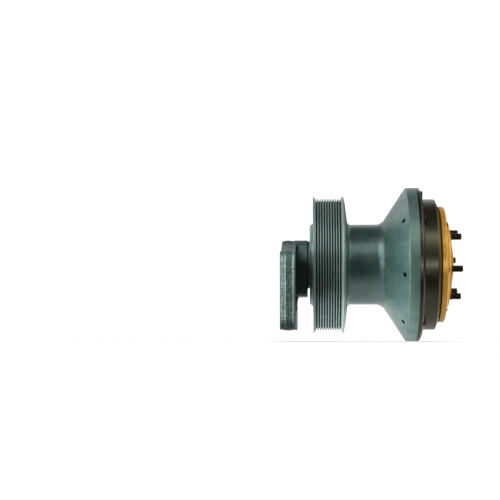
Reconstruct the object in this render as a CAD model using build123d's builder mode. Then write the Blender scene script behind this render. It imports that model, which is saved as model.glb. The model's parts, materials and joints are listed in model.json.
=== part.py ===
from build123d import *
from math import asin, atan2, cos, degrees, radians, sin, sqrt, tan
import os

os.makedirs("parts", exist_ok=True)

# The fan turns about the X axis. The bracket's mounting face is the plane X = 0,
# +X points at the fan and +Z is up. All sizes are in millimetres.

# Clearances
press_gap = 0.01            # between a pressed piece and its seat
running_gap = 0.06          # radial, between pieces that turn or slide on each other
thread_gap = 0.05           # radial, between a screw and its tapped hole
air_gap = 1.0               # between the turning drum and the fan hub

# Bracket casting
bolt_span_y = 236.0
bolt_span_z = 77.0
bolt_top_z = -0.8           # upper bolt row, below the fan axis
bolt_hole_r = 6.75
pad_corner_r = 14.0
pad_width = 27.0
pad_inner_corner_r = 6.0
pad_step = 1.8              # the rough arms lie this far behind the machined pads
plate_depth = 20.0
parting_depth = 8.0         # the mould's parting line, from the mounting face
draft = 3.0                 # degrees, both ways from the parting line
arm_flat_y = 105.0          # the arms' top edge starts to rise here
arm_root_angle = 35.0       # from the top of the boss, where the arms meet it
arch_z = -65.0              # crown of the arch under the arms
boss_r = 35.3
boss_depth = 35.5
boss_land_r = 32.6          # machined round land on the mounting face
boss_flat_drop = 1.9        # flat on top of the boss
journal_r = 32.5            # the seal runs on it
knee_half_width = 34.0      # block under the boss, behind the plate
knee_bottom_z = -45.0
knee_corner_r = 6.0
gusset_height = 14.0
gusset_depth = 2.5
land_wedge = [(-20, 12), (-33, 24.4), (-56.5, 17.2), (-39.3, 2.3), (-20, -8)]  # (Y, Z)
air_hole_r = 3.0
air_hole_y = -15.6
air_hole_z = -1.0
air_channel_r = 4.0
air_channel_end_y = -42.0
back_wall = 10.0            # casting left behind the spindle
plenum_depth = 3.0

# Spindle
seat_r = 22.5               # bearing seats and the end that is pressed into the boss
shank_drop = 1.5            # each step of the spindle is this much smaller than the one before
hub_seat_r = 17.5
nose_drop = 2.5
nose_thread_length = 10.0
air_bore_r = 3.0

# Bearings and seal
bearing_r = 42.5
bearing_width = 19.0
bearing_ring_wall = 6.3     # of the inner ring
bearing_span = 56.5         # rear face to rear face of the two pulley bearings
hub_bearing_r = 36.0
hub_bearing_width = 27.0
hub_ring_wall = 5.5
seal_recess = 6.3           # from the pulley's hub ring to the seal
seal_width = 8.0
seal_to_bearing = 0.5
ring_chamfer = 1.0

# Nuts
spindle_nut_flats = 49.0
spindle_nut_height = 12.0
hub_nut_flats = 39.0
hub_nut_height = 9.0

# Pulley, neck and cone casting
pulley_r = 95.0             # over the belt flanges
flange_width = 1.5
flange_slope = 1.8
groove_count = 10
groove_pitch = 3.56
groove_angle = 40.0
rib_r = 92.2
hub_ring_x = 38.7
hub_ring_r = 57.3
hub_ring_height = 4.4
hub_ring_chamfer = 3.3
shoulder_drop = 10.0        # rounded edge of the pulley's front face
shoulder_width = 2.1
web_rise = 3.0              # slope of the pulley's front face, down to the neck
bearing_shoulder = 4.5
neck_r = 55.7
neck_length = 47.3
neck_root_chamfer = 3.0
cone_root = 4.9             # slanted corner between the neck and the cone
cone_slope = 56.7           # degrees from the axis
rim_width = 13.7
rim_bore_depth = 4.0
rim_bore_step = 5.0         # seat for the drum's spigot, wider than the cavity by this
cavity_depth = 12.5         # straight part of the cavity, behind the rim's face

# Drum
drum_flange_lip = 0.2       # the flange stands proud of the rim
drum_flange_edge = 3.9
drum_flange_depth = 6.9
drum_bevel = 5.1
drum_r = 90.6
drum_wall = 6.0
drum_length = 18.8          # straight wall in front of the flange
drum_nose_depth = 4.6
drum_nose_slope = 10.6
drum_spigot_wall = 5.4
lip_gap = 2.0               # radial, from the cylinder's wall to the lip
lip_depth = 7.0
screw_count = 8
screw_to_drum = 5.9         # from the drum's wall out to the screws' centres
screw_to_edge = 9.9         # and on to the rim's edge
screw_first_angle = 190.8   # in the YZ plane, from +Y towards +Z
screw_shank_r = 3.0
screw_head_flats = 10.0
screw_head_height = 2.7
screw_length = 18.0         # under the head

# Fan hub
disc_r = 80.3
disc_edge = 7.2
disc_depth = 15.6
face_r = 49.0               # flat face that the fan is bolted to
ridge_r = 59.5              # the face falls away outside it in two turned steps
ridge_drop = 3.3
shelf_r = 65.0
shelf_drop = 6.6
barrel_wall = 7.0
cylinder_share = 0.371      # of the room between the barrel and the lining's edge
cylinder_wall = 6.0
cylinder_depth = 8.5
cylinder_rear_gap = 1.0     # from the cylinder's rim to the clutch plate
stud_count = 6
stud_circle_r = 47.5
stud_first_angle = 190.0
stud_r = 4.75
stud_grip_r = 5.0           # the end that is driven into the disc
stud_reach = 14.4           # in front of the fan face
stud_depth = 12.0
marked_screw_circle_r = 67.0
marked_screw_r = 4.0
marked_screw_length = 7.4
marked_screw_rise = 1.4     # above the floor of its recess
marked_recess_r = 5.5
marked_recess_floor = 7.0   # in front of the disc's rear face
passage_r = 1.5             # air passage, drilled from the barrel's mouth to the cylinder
passage_slope = 17.0
passage_reach = 56.0        # how far out from the axis it goes

# Pilot cap
pilot_r = 32.7
pilot_height = 1.6
dome_height = 4.5
dome_steps = 3              # the dome is turned as this many cones on a sphere
cap_spigot_depth = 7.6
cap_spigot_step = 0.5       # the spigot is this much wider than the pilot
air_seal_r = 7.0
air_seal_bore_r = 2.0
air_seal_length = 8.0
air_seal_gap = 0.1

# Clutch pack
lining_depth = 4.0
lining_margin = 0.4         # the plate's edge stands this far outside the lining
lining_inner_margin = 1.0
plate_depth_x = 6.0
plate_edge_gap = 0.8
plate_bore_gap = 0.3
piston_depth = 8.0
pin_count = 3
pin_r = 2.5
pin_grip = 9.0
pin_tip = 1.0               # a pin's end inside the plate's rear face
spring_depth = 8.0
spring_thickness = 3.2
spring_bore_gap = 1.5
spring_outer_r = 76.0
retainer_wall = 9.0
retainer_flange = 4.5
retainer_skirt = 4.0
retainer_bore_r = 32.0

# Radii that follow from the sizes above
shank_r = seat_r - shank_drop
nose_r = hub_seat_r - nose_drop
bearing_inner_ring_r = seat_r + bearing_ring_wall
hub_inner_ring_r = hub_seat_r + hub_ring_wall
barrel_r = hub_bearing_r + barrel_wall
cap_spigot_r = pilot_r + cap_spigot_step
barrel_mouth_r = cap_spigot_r + press_gap
drum_inner_r = drum_r - drum_wall
drum_nose_r = drum_r - drum_nose_slope
screw_circle_r = drum_r + screw_to_drum
rim_r = screw_circle_r + screw_to_edge
drum_flange_r = rim_r + drum_flange_lip
rim_bore_r = drum_inner_r + drum_spigot_wall
cavity_mouth_r = rim_bore_r - rim_bore_step
plate_r = drum_inner_r - plate_edge_gap
lining_outer_r = plate_r - lining_margin
cylinder_outer_r = barrel_r + (lining_outer_r - barrel_r) * cylinder_share
cylinder_wall_r = cylinder_outer_r + cylinder_wall
pin_circle_r = cylinder_outer_r + cylinder_wall / 2
lip_r = cylinder_wall_r + lip_gap
lining_inner_r = lip_r + lining_inner_margin
spring_inner_r = barrel_r + spring_bore_gap
retainer_r = barrel_r + retainer_wall

# Stations along the axis
pulley_x = hub_ring_x + hub_ring_height
first_rib_x = pulley_x + flange_width + flange_slope
last_rib_x = first_rib_x + groove_count * groove_pitch
front_flange_x = last_rib_x + flange_slope
front_web_x = front_flange_x + flange_width + shoulder_width
neck_x = front_web_x + web_rise
cone_x = neck_x + neck_length
rim_x = cone_x + (rim_r - neck_r) / tan(radians(cone_slope))
rim_face_x = rim_x + rim_width
seal_x = hub_ring_x + seal_recess
rear_bearing_x = seal_x + seal_width + seal_to_bearing
front_bearing_x = rear_bearing_x + bearing_span
front_bearing_end = front_bearing_x + bearing_width
drum_face_x = rim_face_x + drum_flange_depth
drum_nose_x = drum_face_x + drum_length
drum_front_x = drum_nose_x + drum_nose_depth
lip_x = drum_front_x - lip_depth
disc_x = drum_front_x + air_gap
fan_face_x = disc_x + disc_depth
lining_x = lip_x - lining_depth
plate_x = lining_x - plate_depth_x
cylinder_x = lining_x + cylinder_rear_gap
seat_x = plate_x - spring_depth
hub_bearing_x = seat_x - retainer_skirt
hub_bearing_end = hub_bearing_x + hub_bearing_width
spindle_nose_x = hub_bearing_end + nose_thread_length
cap_rear_x = fan_face_x - cap_spigot_depth
rib_depth = groove_pitch / 2 / tan(radians(groove_angle / 2))
print("mounting face to fan face:", round(fan_face_x, 2))

side = Plane.YZ


def section(points):
    # half section of a turned piece, from its corners as (X, radius)
    with BuildSketch(Plane.XZ) as half:
        with BuildLine():
            Polyline(*points, close=True)
        make_face()
    return half.sketch


def ring_section(start, end, inner_r, outer_r):
    return section([(start, inner_r), (start, outer_r), (end, outer_r), (end, inner_r)])


def finish(piece, name):
    piece.part.label = name
    export_step(piece.part, "parts/" + name + ".step")


# Bracket: the outline's arcs keep their centres and change radius, so it is drafted evenly
bolt_bottom_z = bolt_top_z - bolt_span_z
half_span = bolt_span_y / 2
pad_edge_y = half_span + pad_corner_r
pad_top_z = bolt_top_z + pad_corner_r
pad_centre_z = (bolt_top_z + bolt_bottom_z) / 2
arm_root_y = boss_r * sin(radians(arm_root_angle))
arm_root_z = boss_r * cos(radians(arm_root_angle))
arm_run = arm_flat_y - arm_root_y
arm_rise = arm_root_z - pad_top_z
arm_r = (arm_run**2 + arm_rise**2) / (2 * arm_rise)
arm_turn = degrees(asin(arm_run / arm_r))
arch_drop = arch_z - bolt_bottom_z
arch_r = (half_span**2 + arch_drop**2 - pad_corner_r**2) / (2 * (arch_drop + pad_corner_r))
arch_turn = degrees(atan2(half_span, arch_r - arch_drop))


def bracket_outline(depth, inset):
    edge_y = pad_edge_y - inset
    with BuildSketch(side.offset(depth)) as outline:
        with BuildLine():
            arm = CenterArc((arm_flat_y, pad_top_z + arm_r), arm_r + inset, 270, -arm_turn)
            Line((0, (arm @ 1).Y), arm @ 1)
            Line(arm @ 0, (half_span, pad_top_z - inset))
            CenterArc((half_span, bolt_top_z), pad_corner_r - inset, 0, 90)
            Line((edge_y, bolt_top_z), (edge_y, bolt_bottom_z))
            CenterArc((half_span, bolt_bottom_z), pad_corner_r - inset, 0, -90 - arch_turn)
            CenterArc((0, arch_z - arch_r), arch_r + inset, 90, -arch_turn)
            mirror(about=Plane.YZ)
        make_face()
    return outline.sketch


with BuildPart() as mounting_bracket:
    for depth in (0, plate_depth):
        inset = abs(parting_depth - depth) * tan(radians(draft))
        loft([bracket_outline(parting_depth, 0), bracket_outline(depth, inset)], ruled=True)
    # boss, journal and the block under the boss
    with BuildSketch(side):
        Circle(boss_r)
        with Locations((0, boss_r)):
            Rectangle(2 * boss_r, 2 * boss_flat_drop, mode=Mode.SUBTRACT)
    extrude(amount=boss_depth)
    with BuildSketch(side.offset(boss_depth)):
        Circle(journal_r)
    extrude(amount=rear_bearing_x - boss_depth)
    with BuildSketch(side.offset(plate_depth - parting_depth)) as knee:
        with Locations((0, knee_bottom_z)):
            Rectangle(2 * knee_half_width, -knee_bottom_z, align=(Align.CENTER, Align.MIN))
        fillet(knee.vertices().group_by(Axis.Y)[0], knee_corner_r)
    extrude(amount=boss_depth - plate_depth + parting_depth)
    with BuildSketch(Plane.XZ):
        Polygon(
            (plate_depth, knee_bottom_z),
            (plate_depth + gusset_depth, knee_bottom_z),
            (plate_depth, knee_bottom_z - gusset_height),
            align=None,
        )
    extrude(amount=knee_half_width - knee_corner_r, both=True)
    # the arms' rough face lies behind the pads, the round land and the wedge beside it
    with BuildSketch(side):
        with Locations((0, pad_centre_z)):
            Rectangle(2.5 * pad_edge_y, 2.5 * pad_edge_y)
            with GridLocations(2 * pad_edge_y - pad_width, 0, 2, 1):
                RectangleRounded(
                    pad_width, bolt_span_z + 2 * pad_corner_r, pad_inner_corner_r, mode=Mode.SUBTRACT
                )
        Circle(boss_land_r, mode=Mode.SUBTRACT)
        Polygon(*land_wedge, align=None, mode=Mode.SUBTRACT)
    extrude(amount=pad_step, mode=Mode.SUBTRACT)
    # bolt holes, the spindle's blind bore and the air inlet with its channel
    with BuildSketch(side):
        with Locations((0, pad_centre_z)):
            with GridLocations(bolt_span_y, bolt_span_z, 2, 2):
                Circle(bolt_hole_r)
    extrude(amount=plate_depth, mode=Mode.SUBTRACT)
    with BuildSketch(side.offset(back_wall)):
        Circle(seat_r)
    extrude(amount=rear_bearing_x - back_wall, mode=Mode.SUBTRACT)
    with BuildSketch(side):
        with Locations((air_hole_y, air_hole_z)):
            Circle(air_hole_r)
    extrude(amount=back_wall, mode=Mode.SUBTRACT)
    with BuildSketch(Plane.XZ.offset(-air_hole_y)):
        with Locations((0, air_hole_z)):
            Circle(air_channel_r)
    extrude(amount=air_hole_y - air_channel_end_y, mode=Mode.SUBTRACT)
finish(mounting_bracket, "mounting_bracket")

# Spindle: pressed into the boss, drilled through for the air, with a counterbore for the air seal
air_seal_x = cap_rear_x - air_seal_gap - air_seal_length
with BuildPart() as spindle:
    revolve(section([
        (back_wall + plenum_depth, air_bore_r),
        (back_wall + plenum_depth, seat_r - press_gap),
        (front_bearing_end, seat_r - press_gap),
        (front_bearing_end, shank_r),
        (hub_bearing_x, shank_r),
        (hub_bearing_x, hub_seat_r - press_gap),
        (hub_bearing_end, hub_seat_r - press_gap),
        (hub_bearing_end, nose_r),
        (spindle_nose_x, nose_r),
        (spindle_nose_x, air_seal_r),
        (air_seal_x, air_seal_r),
        (air_seal_x, air_bore_r),
    ]), axis=Axis.X)
finish(spindle, "spindle")


# Bearings: each has an inner ring on the spindle and an outer ring with its seals
def bearing(name, start, width, bore_r, split_r, outer_r):
    with BuildPart() as inner_ring:
        revolve(ring_section(start, start + width, bore_r, split_r), axis=Axis.X)
    finish(inner_ring, name + "_inner_ring")
    with BuildPart() as outer_ring:
        revolve(section([
            (start, split_r + running_gap),
            (start, outer_r - ring_chamfer),
            (start + ring_chamfer, outer_r - press_gap),
            (start + width, outer_r - press_gap),
            (start + width, split_r + running_gap),
        ]), axis=Axis.X)
    finish(outer_ring, name + "_outer_ring")


bearing("rear_bearing", rear_bearing_x, bearing_width, seat_r, bearing_inner_ring_r, bearing_r)
bearing("front_bearing", front_bearing_x, bearing_width, seat_r, bearing_inner_ring_r, bearing_r)
bearing("hub_bearing", hub_bearing_x, hub_bearing_width, hub_seat_r, hub_inner_ring_r, hub_bearing_r)

with BuildPart() as grease_seal:
    revolve(
        ring_section(seal_x, seal_x + seal_width, journal_r + running_gap, bearing_r - press_gap),
        axis=Axis.X,
    )
finish(grease_seal, "grease_seal")


# Hexagonal nuts that hold the front bearing and the hub bearing
def hexagon_nut(name, start, height, flats, bore_r):
    with BuildPart() as nut:
        with BuildSketch(side.offset(start)):
            RegularPolygon(flats / 2, 6, major_radius=False)
            Circle(bore_r, mode=Mode.SUBTRACT)
        extrude(amount=height)
    finish(nut, name)


hexagon_nut("spindle_nut", front_bearing_end, spindle_nut_height, spindle_nut_flats, shank_r + thread_gap)
hexagon_nut("hub_nut", hub_bearing_end, hub_nut_height, hub_nut_flats, nose_r + thread_gap)

# Pulley, neck and cone: one casting. The V grooves are points on the section, made by a loop.
groove_points = []
for i in range(groove_count):
    rib_x = first_rib_x + i * groove_pitch
    groove_points.append((rib_x, rib_r))
    groove_points.append((rib_x + groove_pitch / 2, rib_r - rib_depth))
groove_points.append((last_rib_x, rib_r))

bearing_shoulder_r = bearing_r - bearing_shoulder
slope = radians(cone_slope)
cavity_x = rim_face_x - cavity_depth
with BuildPart() as pulley_hub:
    revolve(section([
        (hub_ring_x, bearing_r),
        (hub_ring_x, hub_ring_r - hub_ring_chamfer),
        (hub_ring_x + hub_ring_chamfer, hub_ring_r),
        (pulley_x, hub_ring_r),
        (pulley_x, pulley_r),
        (pulley_x + flange_width, pulley_r),
        *groove_points,
        (front_flange_x, pulley_r),
        (front_flange_x + flange_width, pulley_r),
        (front_web_x, pulley_r - shoulder_drop),
        (neck_x, neck_r + neck_root_chamfer),
        (neck_x + neck_root_chamfer, neck_r),
        (cone_x - cone_root, neck_r),
        (cone_x + cone_root * cos(slope), neck_r + cone_root * sin(slope)),
        (rim_x, rim_r),
        (rim_face_x, rim_r),
        (rim_face_x, rim_bore_r),
        (rim_face_x - rim_bore_depth, rim_bore_r),
        (rim_face_x - rim_bore_depth, cavity_mouth_r),
        (cavity_x, cavity_mouth_r),
        (cone_x, bearing_r),
        (front_bearing_x, bearing_r),
        (front_bearing_x, bearing_shoulder_r),
        (rear_bearing_x + bearing_width, bearing_shoulder_r),
        (rear_bearing_x + bearing_width, bearing_r),
    ]), axis=Axis.X)
    with BuildSketch(side.offset(rim_face_x)):
        with PolarLocations(screw_circle_r, screw_count, screw_first_angle):
            Circle(screw_shank_r + thread_gap)
    extrude(amount=cone_x - rim_face_x, mode=Mode.SUBTRACT)
finish(pulley_hub, "pulley_hub")

# Drum: its flange is bolted to the rim
with BuildPart() as drum_flange:
    revolve(section([
        (rim_face_x - rim_bore_depth + running_gap, drum_inner_r),
        (rim_face_x - rim_bore_depth + running_gap, rim_bore_r - running_gap),
        (rim_face_x, rim_bore_r - running_gap),
        (rim_face_x, drum_flange_r),
        (rim_face_x + drum_flange_edge, drum_flange_r),
        (drum_face_x, drum_flange_r - drum_bevel),
        (drum_face_x, drum_inner_r),
    ]), axis=Axis.X)
    with BuildSketch(side.offset(rim_face_x)):
        with PolarLocations(screw_circle_r, screw_count, screw_first_angle):
            Circle(screw_shank_r + thread_gap)
    extrude(amount=drum_flange_depth, mode=Mode.SUBTRACT)
finish(drum_flange, "drum_flange")

# Its wall carries an inward lip that the lining presses on
with BuildPart() as clutch_drum:
    revolve(section([
        (drum_face_x, drum_inner_r),
        (drum_face_x, drum_r),
        (drum_nose_x, drum_r),
        (drum_front_x, drum_nose_r),
        (drum_front_x, lip_r),
        (lip_x, lip_r),
        (lip_x, drum_inner_r),
    ]), axis=Axis.X)
finish(clutch_drum, "clutch_drum")

with BuildPart() as drum_screws:
    with BuildSketch(side.offset(drum_face_x)):
        with PolarLocations(screw_circle_r, screw_count, screw_first_angle):
            RegularPolygon(screw_head_flats / 2, 6, major_radius=False)
    extrude(amount=screw_head_height)
    with BuildSketch(side.offset(drum_face_x)):
        with PolarLocations(screw_circle_r, screw_count, screw_first_angle):
            Circle(screw_shank_r)
    extrude(amount=-screw_length)
finish(drum_screws, "drum_screws")

# Fan hub: face disc, barrel round the hub bearing and the ring cylinder of the release piston
cylinder_floor_x = cylinder_x + cylinder_depth
between_studs = stud_first_angle + 180 / stud_count
passage_rise = barrel_mouth_r * tan(radians(passage_slope))
passage_x = cap_rear_x - 2 * passage_r + passage_rise
passage = Plane(
    origin=(passage_x, 0, 0),
    z_dir=Vector(-sin(radians(passage_slope)), cos(radians(passage_slope)), 0).rotate(
        Axis.X, between_studs
    ),
)
with BuildPart() as fan_hub:
    revolve(section([
        (hub_bearing_x, hub_bearing_r),
        (hub_bearing_end, hub_bearing_r),
        (hub_bearing_end, barrel_mouth_r),
        (fan_face_x, barrel_mouth_r),
        (fan_face_x, face_r),
        (fan_face_x - ridge_drop, ridge_r),
        (fan_face_x - shelf_drop, shelf_r),
        (disc_x + disc_edge, disc_r),
        (disc_x, disc_r),
        (disc_x, cylinder_wall_r),
        (cylinder_x, cylinder_wall_r),
        (cylinder_x, cylinder_outer_r),
        (cylinder_floor_x, cylinder_outer_r),
        (cylinder_floor_x, barrel_r),
        (hub_bearing_x, barrel_r),
    ]), axis=Axis.X)
    with BuildSketch(side.offset(fan_face_x)):
        with PolarLocations(stud_circle_r, stud_count, stud_first_angle):
            Circle(stud_grip_r + press_gap)
    extrude(amount=-stud_depth, mode=Mode.SUBTRACT)
    with BuildSketch(side.offset(disc_x + marked_recess_floor)):
        with PolarLocations(marked_screw_circle_r, stud_count, stud_first_angle):
            Circle(marked_recess_r)
    extrude(amount=disc_depth, mode=Mode.SUBTRACT)
    with BuildSketch(side.offset(disc_x)):
        with PolarLocations(marked_screw_circle_r, stud_count, stud_first_angle):
            Circle(marked_screw_r + thread_gap)
    extrude(amount=disc_depth, mode=Mode.SUBTRACT)
    with BuildSketch(side.offset(cylinder_x)):
        with PolarLocations(pin_circle_r, pin_count, between_studs):
            Circle(pin_r + press_gap)
    extrude(amount=pin_grip, mode=Mode.SUBTRACT)
    with BuildSketch(passage):
        Circle(passage_r)
    extrude(amount=passage_reach / cos(radians(passage_slope)), mode=Mode.SUBTRACT)
finish(fan_hub, "fan_hub")

with BuildPart() as fan_studs:
    with BuildSketch(side.offset(fan_face_x)):
        with PolarLocations(stud_circle_r, stud_count, stud_first_angle):
            Circle(stud_grip_r)
    extrude(amount=-stud_depth)
    with BuildSketch(side.offset(fan_face_x)):
        with PolarLocations(stud_circle_r, stud_count, stud_first_angle):
            Circle(stud_r)
    extrude(amount=stud_reach)
finish(fan_studs, "fan_studs")

with BuildPart() as marked_screws:
    with BuildSketch(side.offset(disc_x + marked_recess_floor + marked_screw_rise)):
        with PolarLocations(marked_screw_circle_r, stud_count, stud_first_angle):
            Circle(marked_screw_r)
    extrude(amount=-marked_screw_length)
finish(marked_screws, "marked_screws")

# Pilot cap: centres the fan and closes the barrel
dome_sphere_r = (pilot_r**2 + dome_height**2) / (2 * dome_height)
dome_centre_x = fan_face_x + pilot_height + dome_height - dome_sphere_r
dome_points = []
for i in range(dome_steps + 1):
    ring_r = pilot_r * (1 - i / dome_steps)
    dome_points.append((dome_centre_x + sqrt(dome_sphere_r**2 - ring_r**2), ring_r))
with BuildPart() as pilot_cap:
    revolve(section([
        (cap_rear_x, 0),
        (cap_rear_x, cap_spigot_r),
        (fan_face_x, cap_spigot_r),
        (fan_face_x, pilot_r),
        *dome_points,
    ]), axis=Axis.X)
finish(pilot_cap, "pilot_cap")

with BuildPart() as air_seal:
    revolve(
        ring_section(air_seal_x, cap_rear_x - air_seal_gap, air_seal_bore_r, air_seal_r - press_gap),
        axis=Axis.X,
    )
finish(air_seal, "air_seal")

# Clutch pack: the spring pushes the plate and its lining forwards against the drum's lip,
# and air behind the ring piston pushes them back off it
with BuildPart() as pressure_plate:
    revolve(ring_section(plate_x, lining_x, barrel_r + plate_bore_gap, plate_r), axis=Axis.X)
    with BuildSketch(side.offset(plate_x)):
        with PolarLocations(pin_circle_r, pin_count, between_studs):
            Circle(pin_r + running_gap)
    extrude(amount=plate_depth_x, mode=Mode.SUBTRACT)
finish(pressure_plate, "pressure_plate")

with BuildPart() as friction_lining:
    revolve(ring_section(lining_x, lip_x, lining_inner_r, lining_outer_r), axis=Axis.X)
finish(friction_lining, "friction_lining")

with BuildPart() as release_piston:
    revolve(
        ring_section(
            lining_x, lining_x + piston_depth, barrel_r + running_gap, cylinder_outer_r - running_gap
        ),
        axis=Axis.X,
    )
finish(release_piston, "release_piston")

with BuildPart() as drive_pins:
    with BuildSketch(side.offset(plate_x - pin_tip)):
        with PolarLocations(pin_circle_r, pin_count, between_studs):
            Circle(pin_r)
    extrude(amount=cylinder_x + pin_grip - plate_x + pin_tip)
finish(drive_pins, "drive_pins")

with BuildPart() as clutch_spring:
    revolve(section([
        (seat_x, spring_inner_r),
        (seat_x + spring_thickness, spring_inner_r),
        (plate_x, spring_outer_r),
        (plate_x - spring_thickness, spring_outer_r),
    ]), axis=Axis.X)
finish(clutch_spring, "clutch_spring")

with BuildPart() as spring_retainer:
    revolve(section([
        (hub_bearing_x - retainer_flange, retainer_bore_r),
        (hub_bearing_x - retainer_flange, retainer_r),
        (seat_x, retainer_r),
        (seat_x, barrel_r + thread_gap),
        (hub_bearing_x, barrel_r + thread_gap),
        (hub_bearing_x, retainer_bore_r),
    ]), axis=Axis.X)
finish(spring_retainer, "spring_retainer")
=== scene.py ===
import json
from math import cos, hypot, pi, radians, sin, tan

import bmesh
import bpy
from mathutils import Matrix, Vector, noise

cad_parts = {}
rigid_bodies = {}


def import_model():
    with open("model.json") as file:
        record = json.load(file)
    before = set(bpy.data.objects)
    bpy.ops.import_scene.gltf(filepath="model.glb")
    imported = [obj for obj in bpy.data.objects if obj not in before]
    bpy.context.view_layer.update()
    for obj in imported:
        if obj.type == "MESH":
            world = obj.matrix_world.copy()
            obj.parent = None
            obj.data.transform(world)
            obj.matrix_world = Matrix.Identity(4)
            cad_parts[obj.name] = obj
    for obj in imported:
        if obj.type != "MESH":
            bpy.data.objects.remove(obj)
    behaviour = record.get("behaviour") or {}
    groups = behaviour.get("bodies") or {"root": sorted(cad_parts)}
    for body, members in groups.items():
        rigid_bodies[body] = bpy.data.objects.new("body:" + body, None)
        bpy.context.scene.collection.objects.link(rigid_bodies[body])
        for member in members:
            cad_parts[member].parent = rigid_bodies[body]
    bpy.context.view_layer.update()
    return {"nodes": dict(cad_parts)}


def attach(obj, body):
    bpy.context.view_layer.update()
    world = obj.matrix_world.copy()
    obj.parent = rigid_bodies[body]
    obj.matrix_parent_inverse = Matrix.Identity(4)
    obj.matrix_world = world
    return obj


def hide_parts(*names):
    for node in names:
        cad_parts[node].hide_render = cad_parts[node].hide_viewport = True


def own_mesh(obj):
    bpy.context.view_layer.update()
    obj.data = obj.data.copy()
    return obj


# Sizes in the dictionaries are millimetres, angles are degrees. The fan turns about X,
# the bracket's mounting face is x = 0 and the fan is at +X.
mm = 0.001
weld = 1e-6             # metres: points that are nearer than this are one
hair = 0.05             # millimetres: slack when a face is matched to a place
wallLean = 0.2          # a wall runs along X while its normal leans that way less than this

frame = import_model()
nodes = frame["nodes"]
print("frame loaded:", len(nodes), "nodes")


def linear(hexCode):
    # sRGB hex to the linear colour that the nodes take
    levels = [int(hexCode[i:i + 2], 16) / 255 for i in (0, 2, 4)]
    return tuple(v / 12.92 if v <= 0.04045 else ((v + 0.055) / 1.055) ** 2.4 for v in levels) + (1.0,)


def addNode(tree, kind, inputs=None, ramp=None, **settings):
    node = tree.nodes.new(kind)
    for name, value in settings.items():
        setattr(node, name, value)
    for name, value in (inputs or {}).items():
        if isinstance(value, bpy.types.NodeSocket):
            tree.links.new(value, node.inputs[name])
        else:
            node.inputs[name].default_value = value
    if ramp:
        stops = node.color_ramp.elements
        while len(stops) < len(ramp):
            stops.new(0.5)
        for stop, (position, shade) in zip(stops, ramp):
            stop.position = position
            stop.color = linear(shade)
    return node


def newMaterial(name, **constants):
    material = bpy.data.materials.new(name)
    material.use_nodes = True
    shader = material.node_tree.nodes["Principled BSDF"]
    for socket, value in constants.items():
        shader.inputs[socket.replace("_", " ")].default_value = value
    return material, material.node_tree, shader


def turningPosition(tree):
    # one number that grows along any turned face: x plus the distance from the axis
    place = addNode(tree, "ShaderNodeTexCoord").outputs["Object"]
    parts = addNode(tree, "ShaderNodeSeparateXYZ", {"Vector": place})
    flat = addNode(tree, "ShaderNodeCombineXYZ", {"Y": parts.outputs["Y"], "Z": parts.outputs["Z"]})
    radius = addNode(tree, "ShaderNodeVectorMath", {0: flat.outputs[0]}, operation="LENGTH")
    return addNode(
        tree, "ShaderNodeMath", {0: radius.outputs["Value"], 1: parts.outputs["X"]}, operation="ADD"
    ).outputs[0]


# Materials
sealerIor = 1.9             # a stronger sheen than a plain lacquer's 1.5
patchNoise = (5.0, 0.62)    # detail and roughness of the uneven coating
noiseSpan = (0.3, 0.7)      # most of a noise lies between these
speckleSpan = (0.35, 0.65)
edgeWearHighlightMix = 0.7               # how far an edge goes towards its pale shade, which is rubbed wear and painted highlight

castLook = {
    "shades": [(0.30, "5c827b"), (0.52, "6c938b"), (0.72, "7ca199")],
    "patch": 14.0,          # uneven coating
    "sandGrain": 1.7,       # a grain of the mould's sand, drawn coarser than real so that it shows
    "sandHeight": 0.3,
    "speckle": 0.22,
    "edgePoint": (0.7, 0.9),        # the pointiness over which an edge goes pale
    "edgeWearHighlight": "9fb6b0",
    "metallic": 0.6,
    "roughness": (0.30, 0.42),
    "coat": (0.85, 0.32),   # weight and roughness of the clear sealer
}
roughCastLook = {
    "shades": [(0.30, "3d5852"), (0.52, "4f6b65"), (0.72, "66827c")],
    "patch": 11.0,
    "sandGrain": 2.2,
    "sandHeight": 0.8,
    "speckle": 0.45,
    "edgePoint": (0.51, 0.545),     # the edges are painted pale, as rubbed wear and as a painted highlight
    "edgeWearHighlight": "8ca59f",
    "metallic": 0.6,
    "roughness": (0.40, 0.58),
    "coat": (0.6, 0.45),
}
turnedLook = {
    "shades": [(0.30, "76998f"), (0.52, "83a69e"), (0.72, "8fb1a9")],
    "patch": 14.0,
    "latheRing": 1.4,       # drawn wider than a real turning mark, so that it shows
    "latheHeight": 0.006,
    "metallic": 0.6,
    "roughness": (0.40, 0.50),
    "coat": (0.6, 0.42),
}
darkTurnedLook = {
    "shades": [(0.30, "2b3e39"), (0.52, "364b45"), (0.72, "42574f")],
    "patch": 14.0,
    "latheRing": 1.4,
    "latheHeight": 0.006,
    "metallic": 0.5,
    "roughness": (0.46, 0.56),
}
# worn pale by the belt, and painted paler as a highlight on the ribs
crestLook = {
    "shades": [(0.30, "a0bab3"), (0.52, "aec7c0"), (0.72, "b9d0ca")],
    "patch": 14.0,
    "latheRing": 3.0,
    "latheHeight": 0.001,
    "metallic": 0.35,
    "roughness": (0.34, 0.42),
    "coat": (0.6, 0.32),
}
# painted shade for the belt grooves
valleyShadeLook = {
    "shades": [(0.30, "3a524c"), (0.52, "445d56"), (0.72, "4e6861")],
    "patch": 14.0,
    "latheRing": 3.0,
    "latheHeight": 0.001,
    "metallic": 0.3,
    "roughness": (0.40, 0.50),
}


def patchyShade(tree, place, look):
    # the colour varies in patches, as a dipped coating does
    patch = addNode(tree, "ShaderNodeTexNoise", {
        "Vector": place, "Scale": 1 / (look["patch"] * mm),
        "Detail": patchNoise[0], "Roughness": patchNoise[1]})
    return addNode(tree, "ShaderNodeValToRGB", {"Fac": patch.outputs["Fac"]}, ramp=look["shades"])


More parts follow.
